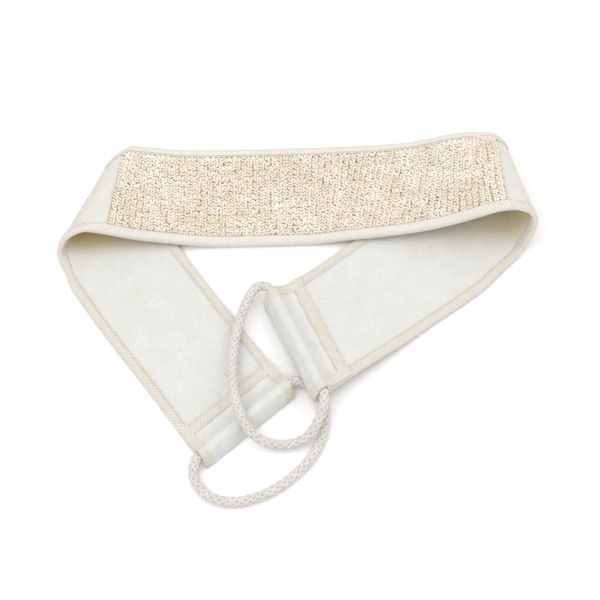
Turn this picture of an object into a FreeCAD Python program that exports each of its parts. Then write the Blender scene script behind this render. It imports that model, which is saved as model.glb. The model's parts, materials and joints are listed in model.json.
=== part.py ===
import FreeCAD, Part
import math
import os

# Loofah back scrubber: a long cloth belt with a loofah panel on the middle of one face,
# terry on the other face and a braided rope loop through a hem tunnel at each end.
# It lies folded on a floor at z = 0: the middle on top, both arms turned back under it.
# Frame: +X along the belt to the right, +Y to the rear, +Z up. Lengths are in mm.

V = FreeCAD.Vector

# cloth
BELT_WIDTH = 90.0
CLOTH_THICK = 1.0
TERRY_THICK = 1.8
PANEL_THICK = 2.2
PANEL_INSET = 7.6
TAPE_THICK = 0.7
TAPE_WIDTH = 7.5
LAYER_GAP = 0.15

# moves the frame's origin to the middle of the cloth's footprint, on the floor
CENTRE_SHIFT = V(-2.0, -2.5, 0)

# rope
ROPE_RADIUS = 4.0
ROPE_RUNNING_GAP = 0.3
ROPE_CORE_RADIUS = 3.4
SLEEVE_LENGTH = 26.0
MOUTH_RUN = 5.5

# heights of the layers, measured from the belt's middle plane to the loofah side
CLOTH_LOW = 0.05
CLOTH_TOP = CLOTH_LOW + CLOTH_THICK
PANEL_LOW = CLOTH_TOP + LAYER_GAP
PANEL_TOP = PANEL_LOW + PANEL_THICK
TERRY_TOP = CLOTH_LOW - LAYER_GAP
TERRY_LOW = TERRY_TOP - TERRY_THICK
TAPE_FACE = CLOTH_TOP + LAYER_GAP + TAPE_THICK
TAPE_BACK = TERRY_LOW - LAYER_GAP - TAPE_THICK
ARM_LEVEL = TAPE_FACE
MIDDLE_LEVEL = 0.4 - TAPE_BACK
BEND_LEVEL = ARM_LEVEL + 1.0
LAID_LEVEL = ARM_LEVEL + 0.3

# folds: angle of the fold line in plan, radius of the bend at the front and rear edge
LEFT_FOLD_ANGLE = 64.0
LEFT_FRONT_RADIUS = 13.8
LEFT_REAR_RADIUS = 5.6
LEFT_SHIFT = 1.69
LEFT_LEAN = -0.15
RIGHT_FOLD_ANGLE = 109.0
RIGHT_FRONT_RADIUS = 22.0
RIGHT_REAR_RADIUS = 7.2
RIGHT_SHIFT = 0.95
RIGHT_LEAN = 0.3
BEND_STEPS = 8

# hem of each arm
HEM_LENGTH = 27.0
HEM_THICK = 1.4
TUNNEL_CENTRE = 7.5
TUNNEL_RADIUS = ROPE_RADIUS + ROPE_RUNNING_GAP
TUNNEL_HEIGHT = TAPE_THICK + LAYER_GAP + TUNNEL_RADIUS
HEM_GAP = 0.25
CROSS_TAPE_WIDTH = 7.0

# stitching
THREAD_WIDE = 0.6
THREAD_HIGH = 0.25


def plan_front(x):
    """The middle's front edge in plan."""
    return V(x, 47.2 + 0.030 * x, 0)


def plan_rear(x):
    """The middle's rear edge in plan."""
    return V(x, 137.4 + 0.032 * x, 0)


def raised(point, z):
    return V(point.x, point.y, z)


def bend(top, axis, out, radius, shift, lean):
    """Points down the half turn that one belt edge makes at a fold.

    With a positive lean the turn is tight at the top and slack below, with a negative one the
    other way round.
    """
    points = []
    for step in range(BEND_STEPS + 1):
        part = step / BEND_STEPS
        turn = math.pi * part
        drop = radius * (1 - math.cos(turn))
        reach = radius * math.sin(turn) * (1 + lean * math.cos(turn))
        points.append(top + out * reach - axis * (shift * part) - V(0, 0, drop))
    return points


def fold_stations(front_x, rear_x, angle, side, radii, shift, lean):
    """Both edges through a fold, from the top layer to the floor."""
    turn = math.radians(angle)
    axis = V(math.cos(turn), math.sin(turn), 0)
    out = V(side * math.sin(turn), -side * math.cos(turn), 0)
    front_top = raised(plan_front(front_x), BEND_LEVEL + 2 * radii[0])
    rear_top = raised(plan_rear(rear_x), BEND_LEVEL + 2 * radii[1])
    front = bend(front_top, axis, out, radii[0], shift * radii[0], lean)
    rear = bend(rear_top, axis, out, radii[1], shift * radii[1], lean)
    return list(zip(front, rear))


# Each station is a pair: a point on the front (outer) edge and one on the rear (inner) edge.
LEFT_ARM = [
    (V(-69, -142, ARM_LEVEL), V(-4, -83, ARM_LEVEL)),
    (V(-92, -110, ARM_LEVEL), V(-27, -51, ARM_LEVEL)),
    (V(-121, -70, ARM_LEVEL), V(-66, 4, ARM_LEVEL)),
    (V(-155, -22, ARM_LEVEL), V(-108, 65, ARM_LEVEL)),
    (V(-170, 1, ARM_LEVEL), V(-135, 107, ARM_LEVEL)),
    (V(-175, 12, ARM_LEVEL), V(-142, 119.5, ARM_LEVEL)),
]
LEFT_RADII = (LEFT_FRONT_RADIUS, LEFT_REAR_RADIUS)
LEFT_BEND = fold_stations(-168.5, -141, LEFT_FOLD_ANGLE, -1, LEFT_RADII, LEFT_SHIFT, LEFT_LEAN)
LEFT_BEND.reverse()
MIDDLE = [
    (raised(plan_front(-151), 26.5), raised(plan_rear(-136), 12.6)),
    (raised(plan_front(-130), 18.0), raised(plan_rear(-121), 9.2)),
    (raised(plan_front(-108), 11.8), raised(plan_rear(-104), 5.8)),
    (raised(plan_front(-86), 6.6), raised(plan_rear(-82), 3.6)),
    (raised(plan_front(-58), 3.2), raised(plan_rear(-57), MIDDLE_LEVEL)),
    (raised(plan_front(-25), MIDDLE_LEVEL), raised(plan_rear(-22), MIDDLE_LEVEL)),
    (raised(plan_front(8), 3.2), raised(plan_rear(14), MIDDLE_LEVEL)),
    (raised(plan_front(36), 8.0), raised(plan_rear(52), 4.0)),
    (raised(plan_front(66), 12.6), raised(plan_rear(86), 6.4)),
    (raised(plan_front(98), 20.0), raised(plan_rear(110), 13.0)),
    (raised(plan_front(127), 32.0), raised(plan_rear(131), 18.6)),
    (raised(plan_front(152), 43.0), raised(plan_rear(150), 18.4)),
]
RIGHT_RADII = (RIGHT_FRONT_RADIUS, RIGHT_REAR_RADIUS)
RIGHT_BEND = fold_stations(162, 157, RIGHT_FOLD_ANGLE, 1, RIGHT_RADII, RIGHT_SHIFT, RIGHT_LEAN)
RIGHT_ARM = [
    (V(163, 26, LAID_LEVEL), V(153, 134, LAID_LEVEL)),
    (V(148, 13, LAID_LEVEL), V(134, 125, LAID_LEVEL)),
    (V(120, -10, LAID_LEVEL), V(98, 95, LAID_LEVEL)),
    (V(92, -31, 3.6), V(58, 64, LAID_LEVEL)),
    (V(67, -51, 8.2), V(29, 40, 2.8)),
    (V(44, -68.6, 12.1), V(5, 20.9, 3.4)),
    (V(27.5, -81.8, 13.7), V(-11.5, 7.7, 4.9)),
    (V(11, -95, 15.3), V(-28, -5.5, 6.4)),
]


def normals(stations):
    """Unit normals that point to the loofah side, one per station."""
    found = []
    last = len(stations) - 1
    for i, (front, rear) in enumerate(stations):
        before = stations[max(i - 1, 0)]
        after = stations[min(i + 1, last)]
        along = (after[0] + after[1]) - (before[0] + before[1])
        found.append(along.cross(rear - front).normalize())
    return found


ALL = LEFT_ARM + LEFT_BEND + MIDDLE + RIGHT_BEND + RIGHT_ARM
NORMALS = normals(ALL)
LEFT_ARM_SPAN = (0, len(LEFT_ARM) - 2)
MIDDLE_START = len(LEFT_ARM) + len(LEFT_BEND)
MIDDLE_SPAN = (MIDDLE_START, MIDDLE_START + len(MIDDLE) - 1)
LEFT_FOLD_SPAN = (LEFT_ARM_SPAN[1], MIDDLE_SPAN[0])
RIGHT_ARM_START = MIDDLE_SPAN[1] + 2 + len(RIGHT_BEND)
RIGHT_FOLD_SPAN = (MIDDLE_SPAN[1], RIGHT_ARM_START)
RIGHT_ARM_SPAN = (RIGHT_ARM_START, len(ALL) - 1)


def belt_point(i, across, height):
    front, rear = ALL[i]
    return front + (rear - front) * (across / BELT_WIDTH) + NORMALS[i] * height


def side_face(a, b):
    """The face between two edges: a plane where both lie at one height, else a ruled surface."""
    heights = (a.BoundBox.ZMin, a.BoundBox.ZMax, b.BoundBox.ZMin, b.BoundBox.ZMax)
    if max(heights) - min(heights) > 0.001:
        return Part.makeRuledSurface(a, b, 1)
    ends = [(e.valueAt(e.FirstParameter), e.valueAt(e.LastParameter)) for e in (a, b)]
    caps = [Part.makeLine(ends[0][k], ends[1][k]) for k in (0, 1)]
    return Part.Face(Part.Wire(Part.__sortEdges__([a, b] + caps)))


def strip(span, section):
    """A piece of the belt: a closed section of (across, height) corners swept along a span."""
    first, last = span
    stations = range(first, last + 1)
    middle = [belt_point(i, BELT_WIDTH / 2, 0) for i in stations]
    stops = [0.0]
    for here, there in zip(middle, middle[1:]):
        stops.append(stops[-1] + here.distanceToPoint(there))
    edges = []
    for across, height in section:
        curve = Part.BSplineCurve()
        points = [belt_point(i, across, height) for i in stations]
        curve.interpolate(Points=points, Parameters=stops)
        edges.append(curve.toShape())
    faces = [side_face(a, b) for a, b in zip(edges, edges[1:] + edges[:1])]
    for i in (first, last):
        corners = [belt_point(i, across, height) for across, height in section]
        faces.append(Part.Face(Part.makePolygon(corners + corners[:1])))
    shell = Part.makeShell(faces)
    shell.sewShape()
    solid = Part.makeSolid(shell)
    return solid if solid.Volume > 0 else solid.reversed()


def slab(low_across, high_across, low, high):
    return [(low_across, low), (high_across, low), (high_across, high), (low_across, high)]


def mirrored(section):
    return [(BELT_WIDTH - across, height) for across, height in section]


def save(name, *solids):
    shape = solids[0] if len(solids) == 1 else Part.makeCompound(list(solids))
    shape = shape.copy()
    shape.translate(CENTRE_SHIFT)
    for solid in solids:
        if not solid.isValid():
            print("not valid:", name)
    print(name, "volume", round(sum(s.Volume for s in solids), 1))
    shape.exportStep("parts/" + name + ".step")


# A flat tape folded over the edge, and the thick rolled one along the middle.
FLAT_BINDING = [
    (TAPE_WIDTH, TAPE_FACE),
    (0, TAPE_FACE),
    (0, TAPE_BACK),
    (TAPE_WIDTH, TAPE_BACK),
    (TAPE_WIDTH, TAPE_BACK + TAPE_THICK),
    (TAPE_THICK, TAPE_BACK + TAPE_THICK),
    (TAPE_THICK, TAPE_FACE - TAPE_THICK),
    (TAPE_WIDTH, TAPE_FACE - TAPE_THICK),
]
ROLLED_BINDING = [
    (PANEL_INSET - 0.4, PANEL_LOW),
    (PANEL_INSET - 0.6, PANEL_TOP - 0.4),
    (5.2, PANEL_TOP + 0.7),
    (2.4, PANEL_TOP + 0.5),
    (0.6, PANEL_TOP - 0.9),
    (0, CLOTH_LOW),
    (0.4, TAPE_BACK + 0.6),
    (1.4, TAPE_BACK),
    (TAPE_WIDTH, TAPE_BACK),
    (TAPE_WIDTH, TAPE_BACK + TAPE_THICK),
    (TAPE_THICK, TAPE_BACK + TAPE_THICK),
    (TAPE_THICK, PANEL_LOW),
]
CLOTH = slab(TAPE_THICK + 0.2, BELT_WIDTH - TAPE_THICK - 0.2, CLOTH_LOW, CLOTH_TOP)
TERRY = slab(TAPE_THICK + 0.2, BELT_WIDTH - TAPE_THICK - 0.2, TERRY_LOW, TERRY_TOP)
PANEL = slab(PANEL_INSET, BELT_WIDTH - PANEL_INSET, PANEL_LOW, PANEL_TOP)


def make_belt():
    """The cloth, terry and binding of the middle, both folds and both arms."""
    sections = (
        ("middle", MIDDLE_SPAN, ROLLED_BINDING),
        ("left_fold", LEFT_FOLD_SPAN, FLAT_BINDING),
        ("right_fold", RIGHT_FOLD_SPAN, FLAT_BINDING),
        ("left_arm", LEFT_ARM_SPAN, FLAT_BINDING),
        ("right_arm", RIGHT_ARM_SPAN, FLAT_BINDING),
    )
    for name, span, binding in sections:
        save(name + "_cloth", strip(span, CLOTH))
        save(name + "_terry", strip(span, TERRY))
        save(name + "_outer_binding", strip(span, binding))
        save(name + "_inner_binding", strip(span, mirrored(binding)))


def make_panel():
    """The knitted loofah panel and the rows of thread that hold it down."""
    save("loofah_panel", strip(MIDDLE_SPAN, PANEL))
    low = PANEL_TOP + 0.1
    rows = []
    for across in (PANEL_INSET + 1.8, BELT_WIDTH - PANEL_INSET - 1.8 - THREAD_WIDE):
        rows.append(strip(MIDDLE_SPAN, slab(across, across + THREAD_WIDE, low, low + THREAD_HIGH)))
    save("panel_stitching", *rows)


class Hem:
    """The frame of one arm's end: origin at the end's outer corner, on the terry's surface."""

    def __init__(self, end, inner):
        front, rear = ALL[end]
        self.across = (rear - front).normalize()
        self.up = NORMALS[end] * -1
        along = ALL[inner][0] + ALL[inner][1] - front - rear
        square = self.up.cross(self.across).normalize()
        self.inward = along / abs(along.dot(square))
        self.corner = front + self.up * -TERRY_LOW
        self.width = front.distanceToPoint(rear)

    def at(self, inward, across, up):
        return self.corner + self.inward * inward + self.across * across + self.up * up

    def prism(self, outline, start, stop):
        """An outline of (inward, up) points pushed across the arm."""
        points = [self.at(inward, start, up) for inward, up in outline]
        face = Part.Face(Part.makePolygon(points + points[:1]))
        return face.extrude(self.across * (stop - start))

    def rod(self, radius, start, stop):
        base = self.at(TUNNEL_CENTRE, start, TUNNEL_HEIGHT)
        return Part.makeCylinder(radius, stop - start, base, self.across)


def arch(radius, steps, first, last):
    """Points (inward, up) on an arc about the tunnel's axis, angles in degrees."""
    points = []
    for step in range(steps + 1):
        turn = math.radians(first + (last - first) * step / steps)
        inward = TUNNEL_CENTRE + radius * math.cos(turn)
        points.append((inward, TUNNEL_HEIGHT + radius * math.sin(turn)))
    return points


def make_hem(side, hem):
    """The hem's folded flap with its rope tunnel, the cross tape and the two side tapes."""
    outer = TUNNEL_RADIUS + HEM_THICK
    low = HEM_GAP
    flap = low + HEM_THICK
    outline = [(TUNNEL_CENTRE - outer, low)] + arch(outer, 14, 180, 20)
    outline += [(TUNNEL_CENTRE + outer + 1.6, flap), (HEM_LENGTH, flap), (HEM_LENGTH, low)]
    outline += [(TUNNEL_CENTRE + TUNNEL_RADIUS, low)] + arch(TUNNEL_RADIUS, 14, 0, 180)
    outline += [(TUNNEL_CENTRE - TUNNEL_RADIUS, low)]
    inset = (TAPE_WIDTH + 0.3) * hem.width / BELT_WIDTH
    save(side + "_hem_tunnel", hem.prism(outline, inset, hem.width - inset))
    edge = HEM_LENGTH + 0.3
    end = edge + CROSS_TAPE_WIDTH
    step = flap + LAYER_GAP
    tape = [(edge - 3.0, step), (edge - 3.0, step + TAPE_THICK), (end, step + TAPE_THICK)]
    tape += [(end, low), (edge, low), (edge, step)]
    save(side + "_cross_tape", hem.prism(tape, inset, hem.width - inset))
    rise = TERRY_LOW - TAPE_BACK + LAYER_GAP
    fold = [(TUNNEL_CENTRE - outer, rise)] + arch(outer, 12, 170, 20)
    fold += [(TUNNEL_CENTRE + outer + 1.6, flap + rise), (end, flap + rise), (end, rise)]
    fold += [(TUNNEL_CENTRE + TUNNEL_RADIUS + 0.4, rise)]
    fold += arch(TUNNEL_RADIUS + 0.1, 12, 0, 180)
    fold += [(TUNNEL_CENTRE - TUNNEL_RADIUS - 0.1, rise)]
    near = hem.prism(fold, 0.4, inset - 0.2)
    far = hem.prism(fold, hem.width - inset + 0.2, hem.width - 0.4)
    save(side + "_hem_side_tapes", near, far)
    rows = []
    for inward in (TUNNEL_CENTRE + outer + 3.0, HEM_LENGTH - 5.0):
        row = [(inward, flap + 0.1), (inward + THREAD_WIDE, flap + 0.1)]
        row += [(inward + THREAD_WIDE, flap + 0.1 + THREAD_HIGH), (inward, flap + 0.1 + THREAD_HIGH)]
        rows.append(hem.prism(row, inset, hem.width - inset))
    save(side + "_hem_stitching", *rows)


def tube(points, radius, name):
    """A rope along straight runs joined by tangent arcs. Returns the solid and its length."""
    edges = []
    radii = []
    start = points[0]
    for before, corner, after in zip(points, points[1:], points[2:]):
        into = (corner - before).normalize()
        away = (after - corner).normalize()
        half = into.getAngle(away) / 2
        cut = 0.45 * min(corner.distanceToPoint(before), corner.distanceToPoint(after))
        radii.append(cut / math.tan(half))
        first = corner - into * cut
        last = corner + away * cut
        inner = (away - into).normalize()
        reach = radii[-1] / math.cos(half) - radii[-1]
        edges.append(Part.LineSegment(start, first).toShape())
        edges.append(Part.Arc(first, corner + inner * reach, last).toShape())
        start = last
    edges.append(Part.LineSegment(start, points[-1]).toShape())
    path = Part.Wire(edges)
    circle = Part.Circle(points[0], points[1] - points[0], radius).toShape()
    solid = path.makePipeShell([Part.Wire([circle])], True, False)
    length = path.Length
    share = solid.Volume / (math.pi * radius**2 * length)
    print(name, "length", round(length, 1), "section check", round(share, 4))
    print(name, "radii", [round(r, 1) for r in radii])
    return solid


def make_rope(side, hem, route):
    """The free loop, the rope's two runs in the tunnel and the sleeve that joins them."""
    start, leaving, coming, stop = (
        hem.at(TUNNEL_CENTRE, across, TUNNEL_HEIGHT)
        for across in (hem.width, hem.width + MOUTH_RUN, -MOUTH_RUN, 0)
    )
    print(side, "mouths", start, leaving, coming, stop)
    points = [start, leaving] + route + [coming, stop]
    save(side + "_rope", tube(points, ROPE_RADIUS, side + "_rope"))
    middle = hem.width / 2
    half = SLEEVE_LENGTH / 2
    first = hem.rod(ROPE_RADIUS, 0, middle - half - 0.2)
    first = first.fuse(hem.rod(ROPE_CORE_RADIUS, middle - half - 0.4, middle - 0.5))
    second = hem.rod(ROPE_RADIUS, middle + half + 0.2, hem.width)
    second = second.fuse(hem.rod(ROPE_CORE_RADIUS, middle + 0.5, middle + half + 0.4))
    save(side + "_rope_ends", first.Solids[0], second.Solids[0])
    sleeve = hem.rod(ROPE_RADIUS, middle - half, middle + half)
    bore = hem.rod(ROPE_CORE_RADIUS + 0.1, middle - half - 1, middle + half + 1)
    save(side + "_rope_sleeve", sleeve.cut(bore).Solids[0])


# The loops' routes, from the inner mouth round to the outer one.
LEFT_ROUTE = [
    V(6, -75.5, 5.6),
    V(15.5, -84, 4.1),
    V(21.5, -96, 4.1),
    V(20.5, -113, 4.1),
    V(12, -132, 4.1),
    V(-4, -149, 4.1),
    V(-24, -163, 4.1),
    V(-48, -171, 4.1),
    V(-68, -167, 4.6),
    V(-80, -154, 6.6),
]
RIGHT_ROUTE = [
    V(-37, 13, 12.0),
    V(-45, -3, 11.7),
    V(-49.5, -24, 11.7),
    V(-52, -46, 11.7),
    V(-52.5, -66, 13.6),
    V(-51.5, -83, 20.6),
    V(-49, -98, 21.8),
    V(-46, -109, 21.8),
    V(-37, -120, 12.0),
    V(-20, -125, 5.7),
    V(0, -124, 6.6),
    V(13, -117, 13.6),
]


def main():
    os.makedirs("parts", exist_ok=True)
    make_belt()
    make_panel()
    left = Hem(0, 1)
    right = Hem(len(ALL) - 1, len(ALL) - 2)
    for side, hem, route in (("left", left, LEFT_ROUTE), ("right", right, RIGHT_ROUTE)):
        make_hem(side, hem)
        make_rope(side, hem, route)


main()
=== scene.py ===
# %% [markdown]
# # A loofah back scrubber, folded for display
#
# The real thing is one long belt of cloth, 90 mm wide. One face is terry, the other is smooth
# cotton with a knitted loofah panel sewn to its middle. Twill tape binds both long edges, and a
# braided cotton rope runs through a hem at each end as a handle. Here both ends are turned back
# under the middle.
#
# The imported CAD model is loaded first. It says where every piece is and how it moves, and each
# Blender piece below takes the place of one or more of its plain solids.

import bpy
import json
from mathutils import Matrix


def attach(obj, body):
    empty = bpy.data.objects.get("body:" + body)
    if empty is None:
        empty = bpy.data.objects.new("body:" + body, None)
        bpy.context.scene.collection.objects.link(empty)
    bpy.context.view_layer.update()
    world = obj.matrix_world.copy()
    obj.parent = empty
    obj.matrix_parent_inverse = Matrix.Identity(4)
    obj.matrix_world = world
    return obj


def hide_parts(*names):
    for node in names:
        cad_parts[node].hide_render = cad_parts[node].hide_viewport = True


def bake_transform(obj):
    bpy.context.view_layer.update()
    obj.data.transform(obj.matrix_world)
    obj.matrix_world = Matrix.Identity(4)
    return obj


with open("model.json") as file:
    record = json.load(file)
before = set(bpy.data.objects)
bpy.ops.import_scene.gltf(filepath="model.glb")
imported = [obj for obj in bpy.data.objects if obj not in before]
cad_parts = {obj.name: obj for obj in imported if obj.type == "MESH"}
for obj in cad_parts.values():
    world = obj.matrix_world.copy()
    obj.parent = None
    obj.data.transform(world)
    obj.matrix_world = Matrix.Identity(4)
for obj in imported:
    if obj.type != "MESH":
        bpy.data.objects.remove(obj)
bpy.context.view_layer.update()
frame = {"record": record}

import json
import math
import random

import bmesh
import bpy
import numpy as np
from mathutils import Vector, noise

# %% [markdown]
# ## The camera
#
# A camera can be placed by eye, or from its height above the horizon and its distance. The second
# is repeatable: this one stands in front of the belt, 60.5 degrees above the floor and 1.25 m
# away, and a 97 mm lens frames the belt with little perspective.

# %% Camera
def place_object(name, data):
    """A new object in the scene."""
    thing = bpy.data.objects.new(name, data)
    bpy.context.scene.collection.objects.link(thing)
    return thing


camera_data = bpy.data.cameras.new("camera")
camera_data.lens = 96.75
camera_data.sensor_width = 36
camera = place_object("camera", camera_data)
camera.location = (-0.002, -0.618, 1.0879)
camera.rotation_euler = (math.radians(29.5), 0, 0)
bpy.context.scene.camera = camera
print("camera", tuple(round(c, 3) for c in camera.location))

# %% [markdown]
# ## The two rope routes
#
# Each handle is a rope that leaves its hem at one end of the tunnel and comes back in at the other. A
# limp rope on a floor lies in slow curves, so its route is a NURBS spline, which is smooth everywhere,
# pulled towards a few given points. The order and the end rule are set after the points are added,
# because Blender lowers the order of a shorter spline.

# %% Rope routes, in metres
MM = 0.001
SHIFT = np.array((-0.002, -0.0025, 0.0))

LEFT_ROUTE = [
    (-0.0084, -0.0769, 0.00895), (-0.0043, -0.0732, 0.00895), (0.0060, -0.0755, 0.0056),
    (0.0145, -0.0845, 0.0041), (0.0195, -0.0960, 0.0041), (0.0185, -0.1130, 0.0041),
    (0.0110, -0.1325, 0.0041), (-0.0040, -0.1500, 0.0041), (-0.0240, -0.1640, 0.0041),
    (-0.0470, -0.1710, 0.0041), (-0.0660, -0.1670, 0.0046), (-0.0775, -0.1540, 0.0066),
    (-0.0775, -0.1396, 0.00895), (-0.0734, -0.1359, 0.00895),
]
RIGHT_ROUTE = [
    (-0.0219, 0.0001, 0.01284), (-0.0241, 0.0051, 0.01234), (-0.0335, 0.0065, 0.0120),
    (-0.0410, -0.0080, 0.0117), (-0.0465, -0.0260, 0.0117), (-0.0500, -0.0470, 0.0117),
    (-0.0510, -0.0670, 0.0136), (-0.0500, -0.0830, 0.0206), (-0.0470, -0.0980, 0.0218),
    (-0.0435, -0.1090, 0.0218), (-0.0355, -0.1205, 0.0120), (-0.0200, -0.1260, 0.0057),
    (-0.0010, -0.1250, 0.0066), (0.0115, -0.1170, 0.0136), (0.0193, -0.0944, 0.02224),
    (0.0171, -0.0894, 0.02174),
]


def spline_points(points):
    """The points along a NURBS spline that is pulled towards the given ones, in the row frame."""
    curve = bpy.data.curves.new("route", "CURVE")
    curve.dimensions = "3D"
    spline = curve.splines.new("NURBS")
    spline.points.add(len(points) - 1)
    for knot, point in zip(spline.points, points):
        knot.co = (*(np.array(point) + SHIFT), 1)
    spline.order_u = 3
    spline.use_endpoint_u = True
    spline.resolution_u = 16
    holder = place_object("route", curve)
    bpy.context.view_layer.update()
    line = bpy.data.meshes.new_from_object(holder)
    found = np.array([v.co for v in line.vertices])
    bpy.data.objects.remove(holder)
    bpy.data.meshes.remove(line)
    return found


def run_along(points):
    """How far along the line each of its points is."""
    return np.concatenate(([0], np.cumsum(np.linalg.norm(np.diff(points, axis=0), axis=1))))


left_line = spline_points(LEFT_ROUTE)
right_line = spline_points(RIGHT_ROUTE)
for name, line in (("left", left_line), ("right", right_line)):
    print(name, "rope:", len(line), "points,", round(float(run_along(line)[-1]), 4), "m")

# %% [markdown]
# ## Helpers for meshes and nodes
#
# Three small tools do most of the work. One turns rows of points into a closed skin with a UV map
# in millimetres, so that a weave drawn on it has its real size. One adds a node with its settings
# and links. One turns a colour as a designer writes it into the linear numbers a shader needs.

# %% Mesh, node and colour helpers
def linear(code):
    """A colour such as "F2EEE8" in the linear values that shaders use."""
    parts = [int(code[i:i + 2], 16) / 255 for i in (0, 2, 4)]
    return (*((c / 12.92) if c <= 0.04045 else ((c + 0.055) / 1.055) ** 2.4 for c in parts), 1)


def add(tree, kind, links=None, **settings):
    """Adds a node. links gives each input a value or another node's output."""
    node = tree.nodes.new(kind)
    for key, value in settings.items():
        setattr(node, key, value)
    for socket, value in (links or {}).items():
        if isinstance(value, bpy.types.NodeSocket):
            tree.links.new(value, node.inputs[socket])
        else:
            node.inputs[socket].default_value = value
    return node


def new_piece(name, points, faces, uvs=None, material=None, smooth=True):
    """A mesh object at the origin. uvs has one (u, v) in mm for each corner, face by face."""
    mesh = bpy.data.meshes.new(name)
    mesh.from_pydata([tuple(p) for p in points], [], faces)
    if uvs is not None:
        layer = mesh.uv_layers.new(name="weave")
        layer.data.foreach_set("uv", np.array(uvs, dtype=np.float32).ravel())
    mesh.polygons.foreach_set("use_smooth", [smooth] * len(mesh.polygons))
    if material:
        mesh.materials.append(material)
    return place_object(name, mesh)


def face_outward(piece):
    bm = bmesh.new()
    bm.from_mesh(piece.data)
    bmesh.ops.recalc_face_normals(bm, faces=bm.faces)
    bm.to_mesh(piece.data)
    bm.free()


def smooth_step(value):
    value = np.clip(value, 0, 1)
    return value * value * (3 - 2 * value)


def mark(piece, name, values):
    """Stores one number on each point, for a material to read."""
    attribute = piece.data.attributes.new(name, "FLOAT", "POINT")
    attribute.data.foreach_set("value", np.asarray(values, dtype=np.float32).ravel())


def tube_faces(count, around):
    """The faces of a closed tube: four-sided ones from ring to ring, then a cap at each end."""
    faces = []
    for i in range(0, (count - 1) * around, around):
        for j in range(around):
            k = (j + 1) % around
            faces.append((i + j, i + k, i + around + k, i + around + j))
    return faces + [tuple(range(i, i + around)) for i in (0, (count - 1) * around)]


def tube_uvs(along, ring):
    """The corners' (u, v) on the four-sided faces, from distances along and around the tube."""
    return [corner for i in range(len(along) - 1) for j in range(len(ring) - 1)
            for corner in ((along[i], ring[j]), (along[i], ring[j + 1]),
                           (along[i + 1], ring[j + 1]), (along[i + 1], ring[j]))]


def skin(name, rows, material, crease=None):
    """A closed skin over rows, an array of rows x points x 3 in metres. The first and the last
    row are capped. crease is the angle past which an edge stays sharp, in degrees."""
    count, around = rows.shape[:2]
    half_way = rows[count // 2]
    along = run_along(rows.mean(1)) / MM
    ring = run_along(np.vstack((half_way, half_way[:1]))) / MM
    uvs = tube_uvs(along, ring) + [(along[0], v) for v in ring[:-1]] * 2
    piece = new_piece(name, rows.reshape(-1, 3), tube_faces(count, around), uvs, material)
    face_outward(piece)
    if crease:
        piece.data.set_sharp_from_angle(angle=math.radians(crease))
    return piece


print("F2EEE8 is", [round(c, 3) for c in linear("F2EEE8")[:3]])

# %% [markdown]
# ## The belt's surface
#
# The belt is a strip that lies in bends and hardly stretches. It is described by pairs of points: one
# on its front edge and one on its rear edge, from the left end through both folds to the right end.
# The pairs are given one by one, so the two edges differ in length by about 4 percent and the right
# arm comes out up to 8 mm wider than the rest. Modelling it by hand in edit mode would work too, but
# every layer, tape and stitch has to follow the same surface. So one function gives the place of any
# spot on the belt: how far along it is, how far across, and how high above the middle of the cloth.

# %% Pairs of edge points, in millimetres
BELT_WIDTH = 90.0
CLOTH_LOW, CLOTH_TOP = 0.05, 1.05
PANEL_LOW, PANEL_TOP = 1.2, 3.4
TERRY_TOP, TERRY_LOW = -0.1, -1.9
TAPE_THICK, TAPE_WIDTH = 0.7, 7.5
TAPE_FACE, TAPE_BACK = 1.9, -2.75
PANEL_INSET = 7.6
ARM_LEVEL, LAID_LEVEL, BEND_LEVEL, MIDDLE_LEVEL = 1.9, 2.2, 2.9, 3.15
BEND_STEPS = 8


def front_edge(x, z):
    return (x, 48.8 + 0.030 * x, z)


def rear_edge(x, z):
    return (x, 139.2 + 0.032 * x, z)


def half_turn(top, turn_angle, side, radius, shift, lean, spread):
    """Points down the half turn that one edge makes at a fold, from the top layer. lean makes it
    tight at the top and slack below, or the other way round when it is negative. spread lets the
    lower layer stand out further than the upper one, as a share of the radius."""
    turn = math.radians(turn_angle)
    fold = np.array((math.cos(turn), math.sin(turn), 0))
    out = np.array((side * math.sin(turn), -side * math.cos(turn), 0))
    points = []
    for part in np.linspace(0, 1, BEND_STEPS + 1):
        swing = math.pi * part
        drop = np.array((0, 0, radius * (1 - math.cos(swing))))
        reach = radius * (math.sin(swing) * (1 + lean * math.cos(swing)) + spread * part ** 3)
        points.append(np.array(top) + out * reach - fold * shift * part - drop)
    return points


def fold_pairs(front_x, rear_x, turn_angle, side, radii, shift, lean, spread):
    edges = []
    for place, x, radius in zip((front_edge, rear_edge), (front_x, rear_x), radii):
        top = place(x, BEND_LEVEL + 2 * radius)
        edges.append(half_turn(top, turn_angle, side, radius, shift * radius, lean, spread))
    return list(zip(*edges))


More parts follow.
